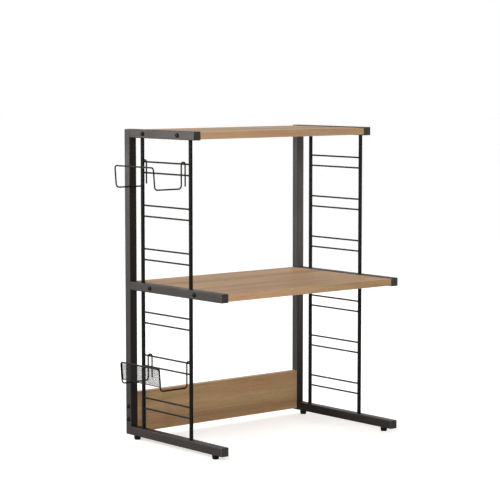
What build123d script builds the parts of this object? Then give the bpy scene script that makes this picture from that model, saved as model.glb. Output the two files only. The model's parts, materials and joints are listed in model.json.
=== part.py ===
from build123d import *
import math
import os

os.makedirs("parts", exist_ok=True)

# Open steel rack with two wood boards, a low back panel and two wire holders on its left side.
# Millimetres, Z up, X to the right and Y to the back. The origin is on the floor, in the middle of the box
# that the whole object fills.

# Overall sizes of the rack
rack_width = 540.0
rack_depth = 360.0
frame_height = 720.0
foot_height = 10.0
top_arm_depth = 262.0
middle_arm_height = 344.0

# Square tube of the frames
tube_size = 20.0
tube_wall = 1.2
tube_corner = 1.5

# Plastic plugs in the open tube ends
cap_flange = 2.5
cap_flange_round = 0.7
cap_plug_length = 12.0
cap_plug_wall = 1.6
cap_plug_gap = 0.1
cap_plug_corner = 0.8

# Upright rods of the side panels
rod_diameter = 9.0
rear_rod_from_back = 57.5
front_rod_behind_top_arm = 24.0

# Thin rungs, in pairs between the two rods
rung_diameter = 4.0
rung_spacing = 25.2
pair_pitch = 101.0
pairs_per_bay = 3
weld_gap = 0.05

# Wood boards
board_thickness = 16.0
board_rise = 2.0
board_front_setback = 2.0
board_rear_setback = 1.0
board_edge_round = 0.5
edge_band_thickness = 1.0
back_panel_height = 96.0
back_panel_rise = 4.0

# Bolts through the frames, and the threaded inserts that they reach in the boards
bolt_diameter = 6.0
bolt_reach = 12.0
bolt_head_diameter = 10.5
bolt_head_height = 3.3
bolt_head_round = 2.2
hex_socket_width = 4.0
hex_socket_depth = 2.0
bolt_hole_clearance = 0.25
insert_diameter = 9.0
insert_length = 14.0
insert_clearance = 0.05
bolt_clearance = 0.05
top_bolts_from_upright = (51.0, 181.0)
middle_bolts_from_upright = (76.0, 242.0)
panel_bolt_spacing = 31.0

# Levelling feet: a threaded stud in a rivet nut, with a round pad on its lower end
stud_diameter = 6.0
stud_clearance = 0.05
stud_top_gap = 1.8
stud_chamfer = 0.6
nut_body_diameter = 9.0
nut_body_length = 12.0
nut_body_clearance = 0.05
nut_flange_diameter = 13.0
nut_flange_thickness = 1.0
pad_diameter = 17.0
pad_bottom_diameter = 14.0
pad_edge_round = 0.8
pad_running_gap = 0.3
pad_floor_thickness = 2.0
pad_grip_count = 12
pad_grip_diameter = 2.0
front_foot_from_front = 34.0
rear_foot_from_back = 32.0

# Wire holders that hang on the rungs of the left side
wire_diameter = 3.5
hang_gap = 0.3
hook_spread = 11.0
hook_bend = 5.0
hook_leg_drop = 51.0
holder_drop = 56.0
holder_front_height = 50.0
holder_reach = 80.0
holder_lean = 4.0
holder_width = 146.0
holder_low_bend = 8.0
holder_top_bend = 7.0
upper_holder_from_front_rod = 27.0
lower_holder_from_front_rod = 9.0

# Mesh sheet behind the front of the lower holder
mesh_thickness = 0.8
mesh_pitch = 4.5
mesh_bar = 0.9
mesh_rim = 2.0
mesh_weld_gap = 0.05

# Places along the depth
front_y = -rack_depth / 2
rear_y = rack_depth / 2
upright_front_y = rear_y - tube_size
upright_mid_y = rear_y - tube_size / 2
top_front_y = rear_y - top_arm_depth
front_rod_y = top_front_y + front_rod_behind_top_arm
rear_rod_y = rear_y - rear_rod_from_back

# Places over the height
foot_rail_z = foot_height
middle_arm_z = foot_height + middle_arm_height
frame_top_z = foot_height + frame_height
top_arm_z = frame_top_z - tube_size

# Places across the width: the rack stands off the origin, because the holders add to its left side only
wire_radius = wire_diameter / 2
rung_radius = rung_diameter / 2
left_overhang = holder_reach + holder_lean + wire_radius - tube_size / 2
rack_middle_x = (left_overhang - bolt_head_height) / 2
half_width = rack_width / 2
sides = {"left": -1, "right": 1}


def outer_x(side):
    return rack_middle_x + sides[side] * half_width


def tube_x(side):
    return rack_middle_x + sides[side] * (half_width - tube_size / 2)


def inner_x(side):
    return rack_middle_x + sides[side] * (half_width - tube_size)


def save(piece, name):
    piece.part.label = name
    export_step(piece.part, f"parts/{name}.step")


# Rungs: three pairs in the middle of each bay
def rung_heights(bay_bottom, bay_top):
    middle = (bay_bottom + bay_top) / 2
    first = middle - pair_pitch * (pairs_per_bay - 1) / 2
    heights = []
    for pair in range(pairs_per_bay):
        heights.append(first + pair * pair_pitch - rung_spacing / 2)
        heights.append(first + pair * pair_pitch + rung_spacing / 2)
    return heights


lower_bay = (foot_rail_z + tube_size, middle_arm_z)
upper_bay = (middle_arm_z + tube_size, top_arm_z)
bays = {"lower": lower_bay, "upper": upper_bay}


# Places of the bolts, as (place along Y, height) on the outer faces
def arm_bolt_places(from_upright, arm_z):
    return [(upright_front_y - distance, arm_z + tube_size / 2) for distance in from_upright]


top_bolt_places = arm_bolt_places(top_bolts_from_upright, top_arm_z)
middle_bolt_places = arm_bolt_places(middle_bolts_from_upright, middle_arm_z)
panel_bottom_z = foot_height + back_panel_rise
panel_middle_z = panel_bottom_z + back_panel_height / 2
panel_bolt_places = [
    (upright_mid_y, panel_middle_z - panel_bolt_spacing / 2),
    (upright_mid_y, panel_middle_z + panel_bolt_spacing / 2),
]

foot_ys = {"front": front_y + front_foot_from_front, "rear": rear_y - rear_foot_from_back}
bolt_hole_radius = bolt_diameter / 2 + bolt_hole_clearance
nut_hole_radius = nut_body_diameter / 2 + nut_body_clearance


# A plane whose sketch X runs along Y and sketch Y runs up, facing away from the rack on the given side
def side_plane(side, x):
    facing = sides[side]
    return Plane(origin=(x, 0, 0), x_dir=(0, facing, 0), z_dir=(facing, 0, 0))


def side_points(side, places):
    return [(sides[side] * y, z) for y, z in places]


# Square tube with rounded corners outside
def square_tube(plane, length):
    with BuildPart() as tube:
        with BuildSketch(plane):
            RectangleRounded(tube_size, tube_size, tube_corner)
            inside = tube_size - 2 * tube_wall
            Rectangle(inside, inside, mode=Mode.SUBTRACT)
        extrude(amount=length)
    return tube.part


# Uprights at the back, drilled for the bolts of the back panel
def make_upright(side):
    bottom = foot_rail_z + cap_flange
    length = frame_top_z - cap_flange - bottom
    profile = Plane(origin=(tube_x(side), upright_mid_y, bottom), x_dir=(1, 0, 0), z_dir=(0, 0, 1))
    tube = square_tube(profile, length)
    with BuildPart() as upright:
        add(tube)
        with BuildSketch(side_plane(side, outer_x(side))):
            with Locations(*side_points(side, panel_bolt_places)):
                Circle(bolt_hole_radius)
        extrude(amount=-tube_size, mode=Mode.SUBTRACT)
    save(upright, f"{side}_upright")


# Horizontal tubes that reach forward from the uprights
def arm_tube(side, front, z):
    start = (tube_x(side), front + cap_flange, z + tube_size / 2)
    profile = Plane(origin=start, x_dir=(1, 0, 0), z_dir=(0, 1, 0))
    return square_tube(profile, upright_front_y - front - cap_flange)


def make_arm(side, name, front, z, bolt_places):
    tube = arm_tube(side, front, z)
    with BuildPart() as arm:
        add(tube)
        with BuildSketch(side_plane(side, outer_x(side))):
            with Locations(*side_points(side, bolt_places)):
                Circle(bolt_hole_radius)
        extrude(amount=-tube_size, mode=Mode.SUBTRACT)
    save(arm, f"{side}_{name}")


# Foot rails, with a hole in the lower wall for each rivet nut
def make_foot_rail(side):
    tube = arm_tube(side, front_y, foot_rail_z)
    with BuildPart() as rail:
        add(tube)
        with BuildSketch(Plane.XY.offset(foot_rail_z)):
            with Locations(*[(tube_x(side), y) for y in foot_ys.values()]):
                Circle(nut_hole_radius)
        extrude(amount=tube_wall, mode=Mode.SUBTRACT)
    save(rail, f"{side}_foot_rail")


# Plastic plug: a flange as large as the tube, with a hollow plug that goes into it
def make_cap(name, plane):
    plug_size = tube_size - 2 * tube_wall - 2 * cap_plug_gap
    core_size = plug_size - 2 * cap_plug_wall
    with BuildPart() as cap:
        with BuildSketch(plane):
            RectangleRounded(tube_size, tube_size, tube_corner)
        extrude(amount=cap_flange)
        outer_edges = cap.faces().sort_by(Axis(plane.origin, plane.z_dir))[0].edges()
        fillet(outer_edges, cap_flange_round)
        with BuildSketch(plane.offset(cap_flange)):
            RectangleRounded(plug_size, plug_size, cap_plug_corner)
            Rectangle(core_size, core_size, mode=Mode.SUBTRACT)
        extrude(amount=cap_plug_length)
    save(cap, name)


def make_caps(side):
    x = tube_x(side)
    for name, front, z in (
        ("foot_rail_cap", front_y, foot_rail_z),
        ("middle_arm_cap", front_y, middle_arm_z),
        ("top_arm_cap", top_front_y, top_arm_z),
    ):
        make_cap(
            f"{side}_{name}",
            Plane(origin=(x, front, z + tube_size / 2), x_dir=(1, 0, 0), z_dir=(0, 1, 0)),
        )
    make_cap(
        f"{side}_upright_top_cap",
        Plane(origin=(x, upright_mid_y, frame_top_z), x_dir=(1, 0, 0), z_dir=(0, 0, -1)),
    )
    make_cap(
        f"{side}_upright_bottom_cap",
        Plane(origin=(x, upright_mid_y, foot_rail_z), x_dir=(1, 0, 0), z_dir=(0, 0, 1)),
    )


# Upright rods of the side panels
def make_rods(side):
    for bay, (bottom, top) in bays.items():
        for place, y in (("rear", rear_rod_y), ("front", front_rod_y)):
            with BuildPart() as rod:
                with BuildSketch(Plane.XY.offset(bottom)):
                    with Locations((tube_x(side), y)):
                        Circle(rod_diameter / 2)
                extrude(amount=top - bottom)
            save(rod, f"{side}_{bay}_{place}_rod")


# Rungs between the two rods, with their ends cut round to meet the rods
def make_rungs(side):
    for bay, (bottom, top) in bays.items():
        with BuildPart() as rungs:
            with BuildSketch(Plane.XZ.offset(-front_rod_y)):
                with Locations(*[(tube_x(side), z) for z in rung_heights(bottom, top)]):
                    Circle(rung_radius)
            extrude(amount=front_rod_y - rear_rod_y)
            with BuildSketch(Plane.XY.offset(bottom)):
                with Locations((tube_x(side), front_rod_y), (tube_x(side), rear_rod_y)):
                    Circle(rod_diameter / 2 + weld_gap)
            extrude(amount=top - bottom, mode=Mode.SUBTRACT)
        save(rungs, f"{side}_{bay}_rungs")


# Round bars as large as the holes for threaded inserts in both ends of a board
def insert_holes(places):
    with BuildPart() as holes:
        for side in sides:
            with BuildSketch(side_plane(side, inner_x(side))):
                with Locations(*side_points(side, places)):
                    Circle(insert_diameter / 2 + insert_clearance)
            extrude(amount=-insert_length)
    return holes.part


# Shelf boards, held between the arms, with a thin band on the front edge
def make_shelf(name, arm_front, arm_z, bolt_places):
    band_front = arm_front + board_front_setback
    board_front = band_front + edge_band_thickness
    depth = rear_y - board_rear_setback - board_front
    width = rack_width - 2 * tube_size
    bottom = arm_z + board_rise
    holes = insert_holes(bolt_places)
    with BuildPart() as board:
        with BuildSketch(Plane.XY.offset(bottom)):
            with Locations((rack_middle_x, board_front + depth / 2)):
                Rectangle(width, depth)
        extrude(amount=board_thickness)
        add(holes, mode=Mode.SUBTRACT)
    save(board, f"{name}_board")
    with BuildPart() as band:
        with BuildSketch(Plane.XY.offset(bottom)):
            with Locations((rack_middle_x, band_front + edge_band_thickness / 2)):
                Rectangle(width, edge_band_thickness)
        extrude(amount=board_thickness)
        front_edges = band.faces().sort_by(Axis.Y)[0].edges().filter_by(Axis.X)
        fillet(front_edges, board_edge_round)
    save(band, f"{name}_board_edge_band")


# Back panel, low down between the uprights, with a band on its upper edge
def make_back_panel():
    width = rack_width - 2 * tube_size
    holes = insert_holes(panel_bolt_places)
    with BuildPart() as panel:
        with BuildSketch(Plane.XY.offset(panel_bottom_z)):
            with Locations((rack_middle_x, upright_mid_y)):
                Rectangle(width, board_thickness)
        extrude(amount=back_panel_height - edge_band_thickness)
        add(holes, mode=Mode.SUBTRACT)
    save(panel, "back_panel")
    with BuildPart() as band:
        with BuildSketch(Plane.XY.offset(panel_bottom_z + back_panel_height - edge_band_thickness)):
            with Locations((rack_middle_x, upright_mid_y)):
                Rectangle(width, board_thickness)
        extrude(amount=edge_band_thickness)
        top_edges = band.faces().sort_by(Axis.Z)[-1].edges().filter_by(Axis.X)
        fillet(top_edges, board_edge_round)
    save(band, "back_panel_edge_band")


# Button head bolts with a hex socket, from the outer face of the frame into the board
def make_bolts(name, places):
    with BuildPart() as bolts:
        for side in sides:
            points = side_points(side, places)
            face = side_plane(side, outer_x(side))
            with BuildSketch(face):
                with Locations(*points):
                    Circle(bolt_diameter / 2)
            extrude(amount=-tube_size - bolt_reach)
            with BuildSketch(face):
                with Locations(*points):
                    Circle(bolt_head_diameter / 2)
            extrude(amount=bolt_head_height)
            ends = Axis((rack_middle_x, 0, 0), (sides[side], 0, 0))
            head_faces = bolts.faces().sort_by(ends)[-len(points):]
            fillet(head_faces.edges(), bolt_head_round)
            with BuildSketch(face.offset(bolt_head_height)):
                with Locations(*points):
                    RegularPolygon(hex_socket_width / 2, 6, major_radius=False)
            extrude(amount=-hex_socket_depth, mode=Mode.SUBTRACT)
    save(bolts, f"{name}_bolts")


# Threaded inserts in the ends of the boards
def make_inserts(name, places):
    with BuildPart() as inserts:
        for side in sides:
            with BuildSketch(side_plane(side, inner_x(side))):
                with Locations(*side_points(side, places)):
                    Circle(insert_diameter / 2)
                    Circle(bolt_diameter / 2 + bolt_clearance, mode=Mode.SUBTRACT)
            extrude(amount=-insert_length)
    save(inserts, f"{name}_inserts")


# Rivet nuts in the lower walls of the foot rails
def make_foot_nuts():
    points = [(tube_x(side), y) for side in sides for y in foot_ys.values()]
    bore_radius = stud_diameter / 2 + stud_clearance
    with BuildPart() as nuts:
        with BuildSketch(Plane.XY.offset(foot_rail_z)):
            with Locations(*points):
                Circle(nut_body_diameter / 2)
                Circle(bore_radius, mode=Mode.SUBTRACT)
        extrude(amount=nut_body_length)
        with BuildSketch(Plane.XY.offset(foot_rail_z)):
            with Locations(*points):
                Circle(nut_flange_diameter / 2)
                Circle(bore_radius, mode=Mode.SUBTRACT)
        extrude(amount=-nut_flange_thickness)
    save(nuts, "foot_nuts")


# Threaded studs, screwed all the way in
def make_stud(side, place):
    top = foot_rail_z + tube_size - tube_wall - stud_top_gap
    bottom = pad_floor_thickness + pad_running_gap
    with BuildPart() as stud:
        with BuildSketch(Plane.XY.offset(bottom)):
            with Locations((tube_x(side), foot_ys[place])):
                Circle(stud_diameter / 2)
        extrude(amount=top - bottom)
        chamfer(stud.faces().sort_by(Axis.Z)[-1].edges(), stud_chamfer)
    save(stud, f"{side}_{place}_foot_stud")


# Round pads that narrow towards the floor, with grips around the upper rim, turning with the thread
def make_pad(side, place):
    x, y = tube_x(side), foot_ys[place]
    top = foot_rail_z - nut_flange_thickness - pad_running_gap
    with BuildPart() as pad:
        with BuildSketch(Plane.XY):
            with Locations((x, y)):
                Circle(pad_bottom_diameter / 2)
        with BuildSketch(Plane.XY.offset(top)):
            with Locations((x, y)):
                Circle(pad_diameter / 2)
        loft()
        ends = pad.faces().sort_by(Axis.Z)
        fillet(ends[0].edges() + ends[-1].edges(), pad_edge_round)
        with BuildSketch(Plane.XY):
            with Locations((x, y)):
                with PolarLocations(pad_diameter / 2, pad_grip_count):
                    Circle(pad_grip_diameter / 2)
        extrude(amount=top, mode=Mode.SUBTRACT)
        with BuildSketch(Plane.XY.offset(pad_floor_thickness)):
            with Locations((x, y)):
                Circle(stud_diameter / 2 + stud_clearance)
        extrude(amount=top - pad_floor_thickness, mode=Mode.SUBTRACT)
    save(pad, f"{side}_{place}_foot_pad")


# Wire holders: one bent wire each, with a hook at both ends over the upper rung of a pair
def holder_frame(rung_z, near_y):
    rung_x = tube_x("left")
    return {
        "inner_x": rung_x + hook_spread / 2,
        "outer_x": rung_x - hook_spread / 2,
        "low_front_x": rung_x - holder_reach,
        "top_front_x": rung_x - holder_reach - holder_lean,
        "crown_z": rung_z + rung_radius + hang_gap + wire_radius,
        "tip_z": rung_z - hook_leg_drop,
        "low_z": rung_z - holder_drop,
        "top_z": rung_z - holder_drop + holder_front_height,
        "near_y": near_y,
        "far_y": near_y + holder_width,
    }


def make_holder(name, place):
    def half(y):
        return [
            (place["inner_x"], y, place["tip_z"]),
            (place["inner_x"], y, place["crown_z"]),
            (place["outer_x"], y, place["crown_z"]),
            (place["outer_x"], y, place["low_z"]),
            (place["low_front_x"], y, place["low_z"]),
            (place["top_front_x"], y, place["top_z"]),
        ]

    points = half(place["near_y"]) + half(place["far_y"])[::-1]
    bends = [hook_bend, hook_bend, holder_low_bend, holder_low_bend, holder_top_bend]
    with BuildPart() as holder:
        with BuildLine():
            FilletPolyline(*points, radius=bends + bends[::-1])
        start = Plane(origin=points[0], x_dir=(1, 0, 0), z_dir=(0, 0, 1))
        with BuildSketch(start):
            Circle(wire_radius)
        sweep()
    save(holder, name)


# Mesh sheet, welded behind the leaning front of the lower holder
def make_mesh(place):
    lean_angle = math.atan2(holder_lean, holder_front_height)
    up = Vector(-math.sin(lean_angle), 0, math.cos(lean_angle))
    inward = Vector(math.cos(lean_angle), 0, math.sin(lean_angle))
    height = (holder_front_height / math.cos(lean_angle)) - holder_low_bend
    corner = Vector(place["low_front_x"], place["near_y"], place["low_z"])
    centre = corner + up * (holder_low_bend + height / 2) + Vector(0, holder_width / 2, 0)
    centre = centre + inward * (wire_radius + mesh_weld_gap)
    columns = int((holder_width - 2 * mesh_rim) / mesh_pitch)
    rows = int((height - 2 * mesh_rim) / mesh_pitch)
    hole = mesh_pitch - mesh_bar
    with BuildPart() as mesh:
        with BuildSketch(Plane(origin=centre, x_dir=(0, 1, 0), z_dir=inward)):
            Rectangle(holder_width, height)
            with GridLocations(mesh_pitch, mesh_pitch, columns, rows):
                Rectangle(hole, hole, mode=Mode.SUBTRACT)
        extrude(amount=mesh_thickness)
    save(mesh, "lower_holder_mesh")


for side in sides:
    make_upright(side)
    make_foot_rail(side)
    make_arm(side, "middle_arm", front_y, middle_arm_z, middle_bolt_places)
    make_arm(side, "top_arm", top_front_y, top_arm_z, top_bolt_places)
    make_caps(side)
    make_rods(side)
    make_rungs(side)
    for place in foot_ys:
        make_stud(side, place)
        make_pad(side, place)

make_shelf("top", top_front_y, top_arm_z, top_bolt_places)
make_shelf("middle", front_y, middle_arm_z, middle_bolt_places)
make_back_panel()
make_foot_nuts()

for fixing, fixing_places in (
    ("top_board", top_bolt_places),
    ("middle_board", middle_bolt_places),
    ("back_panel", panel_bolt_places),
):
    make_bolts(fixing, fixing_places)
    make_inserts(fixing, fixing_places)

# The upper holder hangs on the highest pair of rungs, the lower one on the middle pair of the lower bay
upper_rung_z = rung_heights(*upper_bay)[-1]
middle_pair = pairs_per_bay // 2
lower_rung_z = rung_heights(*lower_bay)[2 * middle_pair + 1]
upper_holder = holder_frame(upper_rung_z, front_rod_y + upper_holder_from_front_rod)
lower_holder = holder_frame(lower_rung_z, front_rod_y + lower_holder_from_front_rod)
make_holder("upper_wire_holder", upper_holder)
make_holder("lower_wire_holder", lower_holder)
make_mesh(lower_holder)
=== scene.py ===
import json
import math

import bmesh
import bpy
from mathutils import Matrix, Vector


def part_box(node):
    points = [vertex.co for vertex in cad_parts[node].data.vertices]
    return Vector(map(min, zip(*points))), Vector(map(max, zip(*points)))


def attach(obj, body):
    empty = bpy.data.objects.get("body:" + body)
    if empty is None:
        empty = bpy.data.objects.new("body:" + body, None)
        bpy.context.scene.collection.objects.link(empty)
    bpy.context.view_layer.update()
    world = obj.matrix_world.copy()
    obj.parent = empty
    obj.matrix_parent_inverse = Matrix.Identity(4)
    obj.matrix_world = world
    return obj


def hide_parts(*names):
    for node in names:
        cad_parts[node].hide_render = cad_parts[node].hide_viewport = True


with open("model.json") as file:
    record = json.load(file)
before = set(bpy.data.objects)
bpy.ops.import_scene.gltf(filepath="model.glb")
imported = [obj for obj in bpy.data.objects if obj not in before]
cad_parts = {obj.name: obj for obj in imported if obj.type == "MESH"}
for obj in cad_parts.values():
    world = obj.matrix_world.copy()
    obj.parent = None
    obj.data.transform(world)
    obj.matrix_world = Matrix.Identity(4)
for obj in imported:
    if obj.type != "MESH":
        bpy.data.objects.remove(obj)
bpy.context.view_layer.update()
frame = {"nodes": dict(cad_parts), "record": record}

# Camera of the photograph's view
picture_size = 500
sensor_width = 36.0
focal_pixels = 1889.63
camera_place = Vector((-2.8276, -3.3968, 0.8687))
camera_yaw = math.radians(39.752)
camera_pitch = math.radians(5.472)
clip_distance = 100.0

# Surroundings: full level on the bright side, fading to the dim level at the opposite side
bright_direction = (-0.62, 0.75, -0.5)
dim_side = -0.9
bright_side = 0.0
dim_level = 0.06
bright_level = 1.0

# Floor
floor_radius = 30.0
floor_segments = 96
floor_colour = (0.82, 0.82, 0.82)
floor_roughness = 0.8
floor_glow = 0.5
floor_return = 0.36

# Lights
warm_white = (1.0, 0.94, 0.885)
wide_spread = math.pi
narrow_spread = 0.34

# Part of a noise texture's range that holds most of its pattern
noise_low = 0.3
noise_high = 0.7

# Brightness of a grain's peaks, set against its hollows
powder_peak_gain = 1.35
plastic_peak_gain = 1.2

# Colours that leave a tone as it is, or darken and tint it
unchanged = (1.0, 1.0, 1.0)
cloud_shade = (0.86, 0.86, 0.86)
ring_shade = (0.80, 0.74, 0.68)
fibre_shade = (0.74, 0.70, 0.66)
pore_shade = (0.35, 0.26, 0.2)
red_cast = (1.0, 0.875, 0.80)
plain_cast = (0.97, 0.93, 0.85)
olive_cast = (0.94, 0.945, 0.785)

# Zinc plate
zinc_colour = (0.55, 0.55, 0.53)
zinc_dull = (0.46, 0.46, 0.45)
zinc_bright = (0.62, 0.62, 0.60)

# Rungs of the side frames, as on the model
rung_radius = 0.002
rung_spacing = 0.0252
pair_pitch = 0.101
pairs_per_bay = 3

# Weld beads
rung_bead_radius = 0.00055
rod_bead_radius = 0.0007
seam_bead_radius = 0.0011
rung_bead_steps = 24
rod_bead_steps = 36
seam_bead_step = 0.0004
seam_inset = 0.0016
bead_sides = 8
bead_ripple = 0.16
bead_ripples = 11
seam_ripple_turns = 2

# Shift of the ripples from bead to bead, in radians for each metre between them
rung_bead_shift = 90
rod_bead_shift = 40
seam_bead_shift = 40

# Woven wire of the lower holder's front
weave_pitch = 0.0016
weave_wire_radius = 0.000225
weave_sides = 5
weave_rim_width = 0.002
weave_rim_thickness = 0.0009
weave_rim_round = 0.0002
weave_rim_segments = 2
holder_lean = 0.004
holder_front_height = 0.050

# Threads of the levelling studs
thread_pitch = 0.001
thread_depth = 0.00055
thread_crest_share = 0.2
thread_steps_per_pitch = 8
thread_sides = 28


# A new material, with its node tree and its shader
def start_material(name, colour, roughness):
    material = bpy.data.materials.new(name)
    material.use_nodes = True
    tree = material.node_tree
    shader = tree.nodes["Principled BSDF"]
    shader.inputs["Base Color"].default_value = (*colour, 1.0)
    shader.inputs["Roughness"].default_value = roughness
    return material, tree, shader


# Places on the object, scaled to a number of pattern cells for each metre along x, y and z
def stretched_places(tree, per_metre):
    places = tree.nodes.new("ShaderNodeTexCoord")
    mapping = tree.nodes.new("ShaderNodeMapping")
    mapping.inputs["Scale"].default_value = per_metre
    tree.links.new(places.outputs["Object"], mapping.inputs["Vector"])
    return mapping.outputs["Vector"]


def noise(tree, per_metre, detail=2.0, roughness=0.5, distortion=0.0):
    texture = tree.nodes.new("ShaderNodeTexNoise")
    texture.inputs["Scale"].default_value = 1.0
    texture.inputs["Detail"].default_value = detail
    texture.inputs["Roughness"].default_value = roughness
    texture.inputs["Distortion"].default_value = distortion
    tree.links.new(stretched_places(tree, per_metre), texture.inputs["Vector"])
    return texture.outputs["Fac"]


# A factor turned into colours, through stops of a place and a colour each
def ramp(tree, factor, stops):
    node = tree.nodes.new("ShaderNodeValToRGB")
    band = node.color_ramp
    while len(band.elements) < len(stops):
        band.elements.new(0.5)
    for element, (place, colour) in zip(band.elements, stops):
        element.position = place
        element.color = (*colour, 1.0)
    tree.links.new(factor, node.inputs["Fac"])
    return node.outputs["Color"]


# A noise value brought to run between two others
def spread(tree, factor, low, high):
    node = tree.nodes.new("ShaderNodeMapRange")
    node.inputs["From Min"].default_value = noise_low
    node.inputs["From Max"].default_value = noise_high
    node.inputs["To Min"].default_value = low
    node.inputs["To Max"].default_value = high
    tree.links.new(factor, node.inputs["Value"])
    return node.outputs["Result"]


def darken(tree, colour, shade, strength):
    node = tree.nodes.new("ShaderNodeMix")
    node.data_type = "RGBA"
    node.blend_type = "MULTIPLY"
    node.inputs["Factor"].default_value = strength
    tree.links.new(colour, node.inputs["A"])
    tree.links.new(shade, node.inputs["B"])
    return node.outputs["Result"]


def bump(tree, shader, height, distance, strength):
    node = tree.nodes.new("ShaderNodeBump")
    node.inputs["Distance"].default_value = distance
    node.inputs["Strength"].default_value = strength
    tree.links.new(height, node.inputs["Height"])
    tree.links.new(node.outputs["Normal"], shader.inputs["Normal"])


# Powder coat: matt black with the fine grain of baked powder
def powder_coat(name, colour, roughness, sheen, grain_per_metre):
    material, tree, shader = start_material(name, colour, roughness)
    shader.inputs["Specular IOR Level"].default_value = sheen
    lighter = tuple(powder_peak_gain * part for part in colour)
    grain = noise(tree, (grain_per_metre,) * 3, detail=3.0)
    tone = ramp(tree, grain, [(noise_low, colour), (0.75, lighter)])
    cloud = noise(tree, (14.0, 14.0, 14.0), detail=2.0)
    patches = ramp(tree, cloud, [(noise_low, cloud_shade), (noise_high, unchanged)])
    tree.links.new(darken(tree, tone, patches, strength=1.0), shader.inputs["Base Color"])
    gloss = spread(tree, cloud, low=roughness - 0.05, high=roughness + 0.06)
    tree.links.new(gloss, shader.inputs["Roughness"])
    bump(tree, shader, grain, distance=0.00006, strength=0.45)
    return material


# Moulded plastic: a fine even spark-eroded texture
def moulded_plastic(name, colour, roughness, sheen):
    material, tree, shader = start_material(name, colour, roughness)
    shader.inputs["Specular IOR Level"].default_value = sheen
    lighter = tuple(plastic_peak_gain * part for part in colour)
    grain = noise(tree, (2600.0, 2600.0, 2600.0), detail=1.0)
    tone = ramp(tree, grain, [(noise_low, colour), (noise_high, lighter)])
    tree.links.new(tone, shader.inputs["Base Color"])
    flow = noise(tree, (60.0, 60.0, 60.0), detail=2.0)
    gloss = spread(tree, flow, low=roughness - 0.04, high=roughness + 0.05)
    tree.links.new(gloss, shader.inputs["Roughness"])
    bump(tree, shader, grain, distance=0.00003, strength=0.4)
    return material


# Zinc plate: bright, with the fine lines of drawn wire
def zinc_plate(name):
    material, tree, shader = start_material(name, zinc_colour, roughness=0.34)
    shader.inputs["Metallic"].default_value = 1.0
    bloom = noise(tree, (420.0, 420.0, 420.0), detail=3.0)
    tone = ramp(tree, bloom, [(noise_low, zinc_dull), (noise_high, zinc_bright)])
    tree.links.new(tone, shader.inputs["Base Color"])
    tree.links.new(spread(tree, bloom, low=0.26, high=0.42), shader.inputs["Roughness"])
    lines = noise(tree, (2400.0, 2400.0, 300.0), detail=1.0)
    bump(tree, shader, lines, distance=0.00002, strength=0.35)
    return material


# Oak-look board: the grain runs along the rack's width, with arches, fibres and short dark pores
def oak_board(name, light, middle, dark, grain_shift, sheen):
    material, tree, shader = start_material(name, middle, roughness=0.55)
    shader.inputs["Specular IOR Level"].default_value = sheen
    planks = noise(tree, (1.3, 15.0 + grain_shift, 22.0), detail=4.0, distortion=0.25)
    tone = ramp(tree, planks, [(0.28, dark), (0.5, middle), (0.74, light)])
    arches = tree.nodes.new("ShaderNodeTexWave")
    arches.wave_type = "BANDS"
    arches.bands_direction = "Y"
    arches.inputs["Scale"].default_value = 1.0
    arches.inputs["Distortion"].default_value = 9.0
    arches.inputs["Detail"].default_value = 2.0
    arches.inputs["Detail Scale"].default_value = 0.6
    arch_places = stretched_places(tree, (0.9, 17.0 + grain_shift, 24.0))
    tree.links.new(arch_places, arches.inputs["Vector"])
    rings = ramp(tree, arches.outputs["Fac"], [(0.08, ring_shade), (0.4, unchanged)])
    tone = darken(tree, tone, rings, strength=0.65)
    hues = noise(tree, (5.0, 26.0 + grain_shift, 45.0), detail=2.0)
    casts = ramp(tree, hues, [(0.36, red_cast), (0.5, plain_cast), (0.64, olive_cast)])
    tone = darken(tree, tone, casts, strength=1.0)
    fibres = noise(tree, (9.0, 900.0, 900.0), detail=3.0, roughness=0.6)
    lines = ramp(tree, fibres, [(0.32, fibre_shade), (0.58, unchanged)])
    tone = darken(tree, tone, lines, strength=0.75)
    pores = noise(tree, (70.0, 2200.0, 2200.0), detail=1.0)
    specks = ramp(tree, pores, [(0.26, pore_shade), (0.34, unchanged)])
    tone = darken(tree, tone, specks, strength=0.8)
    tree.links.new(tone, shader.inputs["Base Color"])
    tree.links.new(spread(tree, fibres, low=0.62, high=0.46), shader.inputs["Roughness"])
    bump(tree, shader, fibres, distance=0.00012, strength=0.4)
    return material


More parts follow.
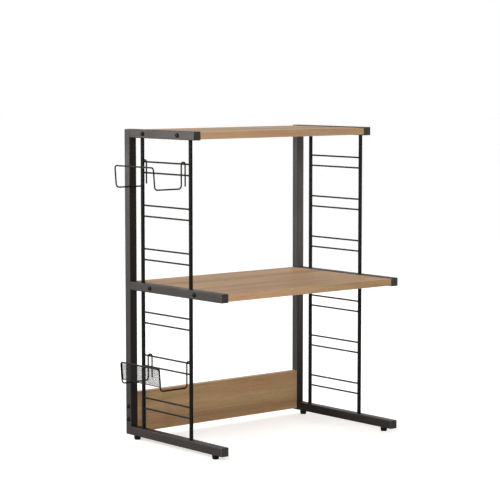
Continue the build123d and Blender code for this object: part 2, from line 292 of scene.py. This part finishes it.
# One material for each slot of the model
materials = {
    "frame_steel": powder_coat(
        "frame_powder_coat",
        colour=(0.012, 0.0098, 0.0092),
        roughness=0.5,
        sheen=0.42,
        grain_per_metre=1100.0,
    ),
    "rod_steel": powder_coat(
        "rod_powder_coat",
        colour=(0.005, 0.0045, 0.0045),
        roughness=0.5,
        sheen=0.14,
        grain_per_metre=1500.0,
    ),
    "holder_wire": powder_coat(
        "holder_wire_coat",
        colour=(0.005, 0.0045, 0.0045),
        roughness=0.45,
        sheen=0.16,
        grain_per_metre=1800.0,
    ),
    "mesh_steel": powder_coat(
        "mesh_wire_coat",
        colour=(0.007, 0.0062, 0.006),
        roughness=0.5,
        sheen=0.2,
        grain_per_metre=2400.0,
    ),
    "bolt_steel": powder_coat(
        "bolt_black_finish",
        colour=(0.005, 0.005, 0.005),
        roughness=0.45,
        sheen=0.22,
        grain_per_metre=2200.0,
    ),
    "cap_plastic": moulded_plastic(
        "cap_moulded_plastic",
        colour=(0.040, 0.038, 0.038),
        roughness=0.45,
        sheen=0.5,
    ),
    "pad_plastic": moulded_plastic(
        "pad_moulded_plastic",
        colour=(0.004, 0.004, 0.004),
        roughness=0.6,
        sheen=0.2,
    ),
    "zinc_steel": zinc_plate("zinc_plated_steel"),
    "board_wood": oak_board(
        "oak_board",
        light=(0.69, 0.497, 0.318),
        middle=(0.58, 0.405, 0.258),
        dark=(0.42, 0.28, 0.172),
        grain_shift=0.0,
        sheen=0.08,
    ),
    # Edge band: the board's oak made about an eighth lighter, as painted light on the front edges
    "edge_wood": oak_board(
        "oak_edge_band_painted_lighter",
        light=(0.77, 0.553, 0.36),
        middle=(0.655, 0.455, 0.292),
        dark=(0.485, 0.322, 0.203),
        grain_shift=2.0,
        sheen=0.4,
    ),
}


# Every node of the model takes the material of its slot
for subpart in frame["record"]["subparts"]:
    for material_slot in frame["nodes"][subpart["node"]].material_slots:
        material_slot.material = materials[subpart["material_slot"]]


# A new piece from a finished bmesh, riding on a body
def add_piece(name, mesh_source, slot, body):
    mesh = bpy.data.meshes.new(name)
    mesh_source.to_mesh(mesh)
    mesh_source.free()
    mesh.materials.append(materials[slot])
    piece = bpy.data.objects.new(name, mesh)
    bpy.context.scene.collection.objects.link(piece)
    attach(piece, body)
    return piece


# A round tube along a list of points, closed into a loop or capped at its ends
def add_tube(mesh_source, points, radii, sides, closed, side_hint):
    count = len(points)
    rings = []
    for index in range(count):
        before = points[index - 1] if index > 0 or closed else points[index]
        after = points[(index + 1) % count] if index < count - 1 or closed else points[index]
        along = (after - before).normalized()
        across = (side_hint - along * side_hint.dot(along)).normalized()
        third = along.cross(across)
        ring = []
        for side in range(sides):
            turn = 2 * math.pi * side / sides
            offset = across * math.cos(turn) + third * math.sin(turn)
            ring.append(mesh_source.verts.new(points[index] + offset * radii[index]))
        rings.append(ring)
    for index in range(count if closed else count - 1):
        ring, following = rings[index], rings[(index + 1) % count]
        for side in range(sides):
            beside = (side + 1) % sides
            corners = (ring[side], ring[beside], following[beside], following[side])
            mesh_source.faces.new(corners).smooth = True
    if not closed:
        mesh_source.faces.new(rings[0][::-1])
        mesh_source.faces.new(rings[-1])


def ripple(turn, phase):
    return 1.0 + bead_ripple * math.sin(bead_ripples * turn + phase)


# Rippled ring of weld where a rod meets a tube
def rod_bead(mesh_source, x, y, z, radius):
    points, radii = [], []
    for step in range(rod_bead_steps):
        turn = 2 * math.pi * step / rod_bead_steps
        points.append(Vector((x + radius * math.cos(turn), y + radius * math.sin(turn), z)))
        radii.append(rod_bead_radius * ripple(turn, rod_bead_shift * (x + y + z)))
    add_tube(mesh_source, points, radii, bead_sides, True, Vector((0, 0, 1)))


# Rippled ring of weld where a rung meets a rod
def rung_bead(mesh_source, x, rod_y, z, rod_radius, towards):
    points, radii = [], []
    for step in range(rung_bead_steps):
        turn = 2 * math.pi * step / rung_bead_steps
        across = rung_radius * math.cos(turn)
        depth = math.sqrt(rod_radius ** 2 - across ** 2)
        height = z + rung_radius * math.sin(turn)
        points.append(Vector((x + across, rod_y + towards * depth, height)))
        radii.append(rung_bead_radius * ripple(turn, rung_bead_shift * (x + z)))
    add_tube(mesh_source, points, radii, bead_sides, True, Vector((0, 1, 0)))


# Straight rippled weld between two points
def seam_bead(mesh_source, start, end):
    steps = int((end - start).length / seam_bead_step)
    points, radii = [], []
    for step in range(steps + 1):
        share = step / steps
        turn = 2 * math.pi * seam_ripple_turns * share
        points.append(start.lerp(end, share))
        radii.append(seam_bead_radius * ripple(turn, seam_bead_shift * start.z))
    add_tube(mesh_source, points, radii, bead_sides, False, Vector((0, 0, 1)))


# Welds across the upright's front face, along the chosen edges of an arm or rail
def arm_seams(mesh_source, side, arm, edges):
    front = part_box(f"{side}_upright")[0].y
    low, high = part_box(f"{side}_{arm}")
    heights = {"below": low.z, "above": high.z}
    for edge in edges:
        start = Vector((low.x + seam_inset, front, heights[edge]))
        end = Vector((high.x - seam_inset, front, heights[edge]))
        seam_bead(mesh_source, start, end)


def rung_heights(bay_rungs):
    low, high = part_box(bay_rungs)
    middle = (low.z + high.z) / 2
    heights = []
    for pair in range(pairs_per_bay):
        pair_middle = middle + (pair - (pairs_per_bay - 1) / 2) * pair_pitch
        heights.append(pair_middle - rung_spacing / 2)
        heights.append(pair_middle + rung_spacing / 2)
    return heights


# Weld beads of both side frames
for side in ("left", "right"):
    beads = bmesh.new()
    for bay in ("lower", "upper"):
        heights = rung_heights(f"{side}_{bay}_rungs")
        for place, towards in (("front", 1), ("rear", -1)):
            low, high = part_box(f"{side}_{bay}_{place}_rod")
            middle = (low + high) / 2
            rod_radius = (high.x - low.x) / 2
            for z in (low.z, high.z):
                rod_bead(beads, middle.x, middle.y, z, rod_radius)
            for z in heights:
                rung_bead(beads, middle.x, middle.y, z, rod_radius, towards)
    add_piece(f"{side}_weld_beads", beads, "rod_steel", "rack")
    seams = bmesh.new()
    arm_seams(seams, side, "foot_rail", ("above",))
    arm_seams(seams, side, "middle_arm", ("below", "above"))
    arm_seams(seams, side, "top_arm", ("below",))
    add_piece(f"{side}_seam_welds", seams, "frame_steel", "rack")


# Rim around the woven wire, with rounded edges
def add_rim(weave, centre, along, up, inward, width, height):
    loops = []
    for inset in (0.0, weave_rim_width):
        for depth in (-weave_rim_thickness / 2, weave_rim_thickness / 2):
            loop = []
            for right, top in ((-1, -1), (1, -1), (1, 1), (-1, 1)):
                place = along * right * (width / 2 - inset) + up * top * (height / 2 - inset)
                loop.append(weave.verts.new(centre + place + inward * depth))
            loops.append(loop)
    outer_front, outer_back, inner_front, inner_back = loops
    edges = set()
    for first, second in (
        (outer_front, outer_back),
        (outer_back, inner_back),
        (inner_back, inner_front),
        (inner_front, outer_front),
    ):
        for corner in range(4):
            beside = (corner + 1) % 4
            face = weave.faces.new((first[corner], first[beside], second[beside], second[corner]))
            edges.update(face.edges)
    bmesh.ops.bevel(
        weave,
        geom=list(edges),
        offset=weave_rim_round,
        segments=weave_rim_segments,
        affect="EDGES",
    )


# Woven wire in its rim, in the place of the plain holed sheet
def woven_front():
    low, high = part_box("lower_holder_mesh")
    centre = (low + high) / 2
    lean = math.atan2(holder_lean, holder_front_height)
    up = Vector((-math.sin(lean), 0, math.cos(lean)))
    inward = Vector((math.cos(lean), 0, math.sin(lean)))
    along = Vector((0, 1, 0))
    width = high.y - low.y
    height = (high.z - low.z - weave_rim_thickness * math.sin(lean)) / math.cos(lean)
    reach_along = width / 2 - weave_rim_width / 2
    reach_up = height / 2 - weave_rim_width / 2
    weave = bmesh.new()

    def wires(direction, reach, crossing, crossing_reach, parity):
        count = int(2 * crossing_reach / weave_pitch)
        steps = 2 * int(2 * reach / weave_pitch)
        for wire in range(count + 1):
            offset = (wire - count / 2) * weave_pitch
            points = []
            for step in range(steps + 1):
                place = (step / steps * 2 - 1) * reach
                wave = math.cos(math.pi * (place / weave_pitch + wire + parity))
                points.append(
                    centre + direction * place + crossing * offset + inward * wave * weave_wire_radius
                )
            radii = [weave_wire_radius] * len(points)
            add_tube(weave, points, radii, weave_sides, False, inward)

    wires(up, reach_up, along, reach_along, 0)
    wires(along, reach_along, up, reach_up, 1)
    add_rim(weave, centre, along, up, inward, width, height)
    return weave


woven_mesh = add_piece("lower_holder_woven_front", woven_front(), "mesh_steel", "lower_holder")
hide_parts("lower_holder_mesh")


# Threaded stud, in the place of the plain one
def threaded_stud(node):
    low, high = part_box(node)
    x, y = (low.x + high.x) / 2, (low.y + high.y) / 2
    crest = (high.x - low.x) / 2
    steps = int((high.z - low.z) / thread_pitch * thread_steps_per_pitch)
    thread = bmesh.new()
    rings = []
    for step in range(steps + 1):
        z = low.z + (high.z - low.z) * step / steps
        end_distance = min(high.z - z, z - low.z)
        limit = crest - max(0.0, thread_depth - end_distance)
        ring = []
        for side_index in range(thread_sides):
            turn = 2 * math.pi * side_index / thread_sides
            phase = (z / thread_pitch - turn / (2 * math.pi)) % 1.0
            flank = max(0.0, abs(phase - 0.5) * 2 - thread_crest_share) / (1 - thread_crest_share)
            radius = min(limit, crest - thread_depth * flank)
            corner = Vector((x + radius * math.cos(turn), y + radius * math.sin(turn), z))
            ring.append(thread.verts.new(corner))
        rings.append(ring)
    for ring, following in zip(rings, rings[1:]):
        for side_index in range(thread_sides):
            beside = (side_index + 1) % thread_sides
            corners = (ring[side_index], ring[beside], following[beside], following[side_index])
            thread.faces.new(corners).smooth = True
    thread.faces.new(rings[0][::-1])
    thread.faces.new(rings[-1])
    return thread


for side in ("left", "right"):
    for place in ("front", "rear"):
        stud = f"{side}_{place}_foot_stud"
        threaded = add_piece(f"{stud}_thread", threaded_stud(stud), "zinc_steel", f"{side}_{place}_stud")
        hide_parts(stud)


# Pale floor: the camera sees it white, and it gives the rack the light that a grey floor would return
def make_floor():
    mesh_source = bmesh.new()
    bmesh.ops.create_circle(mesh_source, cap_ends=True, segments=floor_segments, radius=floor_radius)
    mesh = bpy.data.meshes.new("floor")
    mesh_source.to_mesh(mesh)
    mesh_source.free()
    material, tree, shader = start_material("pale_floor", floor_colour, floor_roughness)
    shader.inputs["Emission Color"].default_value = (1.0, 1.0, 1.0, 1.0)
    shader.inputs["Emission Strength"].default_value = floor_glow
    grey = tree.nodes.new("ShaderNodeBsdfDiffuse")
    grey.inputs["Color"].default_value = (floor_return, floor_return, floor_return, 1.0)
    rays = tree.nodes.new("ShaderNodeLightPath")
    shown = tree.nodes.new("ShaderNodeMixShader")
    tree.links.new(rays.outputs["Is Camera Ray"], shown.inputs["Fac"])
    tree.links.new(grey.outputs["BSDF"], shown.inputs[1])
    tree.links.new(shader.outputs["BSDF"], shown.inputs[2])
    tree.links.new(shown.outputs["Shader"], tree.nodes["Material Output"].inputs["Surface"])
    mesh.materials.append(material)
    floor = bpy.data.objects.new("floor", mesh)
    bpy.context.scene.collection.objects.link(floor)


# Surroundings: the camera sees them white everywhere, and they give less light from the front right
# and above
def make_surroundings():
    world = bpy.data.worlds.new("white_room")
    world.use_nodes = True
    tree = world.node_tree
    background = tree.nodes["Background"]
    background.inputs["Color"].default_value = (1.0, 1.0, 1.0, 1.0)
    directions = tree.nodes.new("ShaderNodeTexCoord")
    side = tree.nodes.new("ShaderNodeVectorMath")
    side.operation = "DOT_PRODUCT"
    side.inputs[1].default_value = bright_direction
    tree.links.new(directions.outputs["Generated"], side.inputs[0])
    level = tree.nodes.new("ShaderNodeMapRange")
    level.inputs["From Min"].default_value = dim_side
    level.inputs["From Max"].default_value = bright_side
    level.inputs["To Min"].default_value = dim_level
    level.inputs["To Max"].default_value = bright_level
    tree.links.new(side.outputs["Value"], level.inputs["Value"])
    rays = tree.nodes.new("ShaderNodeLightPath")
    shown = tree.nodes.new("ShaderNodeMix")
    shown.inputs["B"].default_value = bright_level
    tree.links.new(rays.outputs["Is Camera Ray"], shown.inputs["Factor"])
    tree.links.new(level.outputs["Result"], shown.inputs["A"])
    tree.links.new(shown.outputs["Result"], background.inputs["Strength"])
    bpy.context.scene.world = world


# Square area light at a place, turned towards a target
def make_soft_light(name, place, target, size, watts, spread_angle):
    lamp = bpy.data.lights.new(name, "AREA")
    lamp.shape = "SQUARE"
    lamp.size = size
    lamp.color = warm_white
    lamp.energy = watts
    lamp.spread = spread_angle
    light = bpy.data.objects.new(name, lamp)
    light.location = place
    light.rotation_euler = (Vector(target) - Vector(place)).to_track_quat("-Z", "Y").to_euler()
    bpy.context.scene.collection.objects.link(light)


def make_camera():
    direction = Vector((
        math.sin(camera_yaw) * math.cos(camera_pitch),
        math.cos(camera_yaw) * math.cos(camera_pitch),
        -math.sin(camera_pitch),
    ))
    lens = bpy.data.cameras.new("camera")
    lens.sensor_width = sensor_width
    lens.lens = focal_pixels * sensor_width / picture_size
    lens.clip_end = clip_distance
    camera = bpy.data.objects.new("camera", lens)
    camera.location = camera_place
    camera.rotation_euler = direction.to_track_quat("-Z", "Y").to_euler()
    bpy.context.scene.collection.objects.link(camera)
    bpy.context.scene.camera = camera


make_floor()
make_surroundings()
make_soft_light(
    "sheen_light",
    place=(-2.75, 2.75, 1.3),
    target=(0.0, 0.0, 0.6),
    size=2.0,
    watts=90.0,
    spread_angle=wide_spread,
)
make_soft_light(
    "front_light",
    place=(-2.2, -2.9, 1.4),
    target=(0.0, 0.0, 0.5),
    size=1.6,
    watts=80.0,
    spread_angle=wide_spread,
)
make_soft_light(
    "fill_light",
    place=(3.2, 0.7, 1.1),
    target=(0.0, 0.0, 0.4),
    size=1.8,
    watts=34.0,
    spread_angle=wide_spread,
)
make_soft_light(
    "right_frame_light",
    place=(1.5, -2.4, 0.8),
    target=(0.68, 0.0, 0.5),
    size=0.2,
    watts=1.55,
    spread_angle=narrow_spread,
)
make_camera()
bpy.context.scene.view_settings.view_transform = "Standard"
